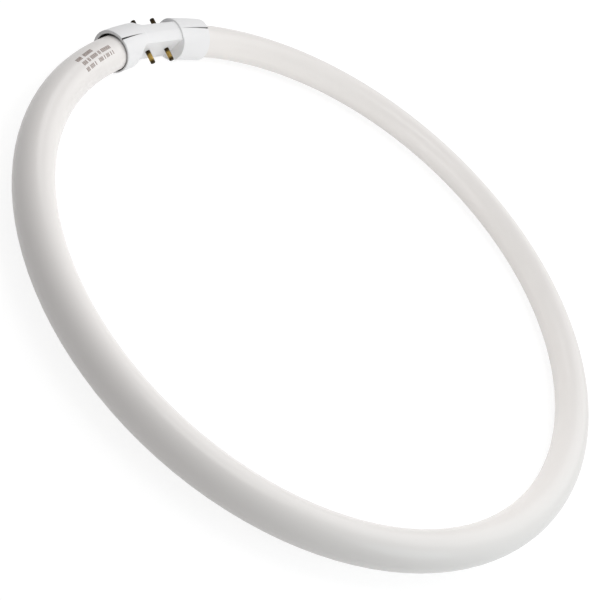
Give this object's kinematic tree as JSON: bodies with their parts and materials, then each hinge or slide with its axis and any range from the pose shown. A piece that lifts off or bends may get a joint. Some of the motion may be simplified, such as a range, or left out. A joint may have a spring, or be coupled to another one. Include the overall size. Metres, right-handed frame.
{
  "type": "circular fluorescent tube",
  "caption": "Slim ring-shaped fluorescent lamp: a white coated glass tube bent into a circle, its ends joined in a moulded cap with contact pins facing in and out.",
  "frame": {"origin": "centre of the ring, in the middle plane of the tube", "axes": "+Z along the ring's axis, up from the surface it lies on; the cap sits at -X, its long barrel end towards -Y; +X runs from the cap through the ring's centre"},
  "size_m": [0.3029, 0.299, 0.0204],
  "materials": {
    "coated_glass": "glossy glass over an opaque warm white powder coat",
    "cap_plastic": "satin white moulded plastic, faintly bluish",
    "pin_brass": "bare drawn brass",
    "lead_wire": "bare nickel-plated wire"
  },
  "bodies": {
    "root": {"glass_tube": "coated_glass", "base_outer_shell": "cap_plastic", "base_inner_shell": "cap_plastic", "inner_pin_barrel_side": "pin_brass", "inner_pin_collar_side": "pin_brass", "outer_pin_barrel_side": "pin_brass", "outer_pin_collar_side": "pin_brass", "lead_wire_inner_barrel_side": "lead_wire", "lead_wire_outer_barrel_side": "lead_wire", "lead_wire_inner_collar_side": "lead_wire", "lead_wire_outer_collar_side": "lead_wire"}
  },
  "joints": []
}
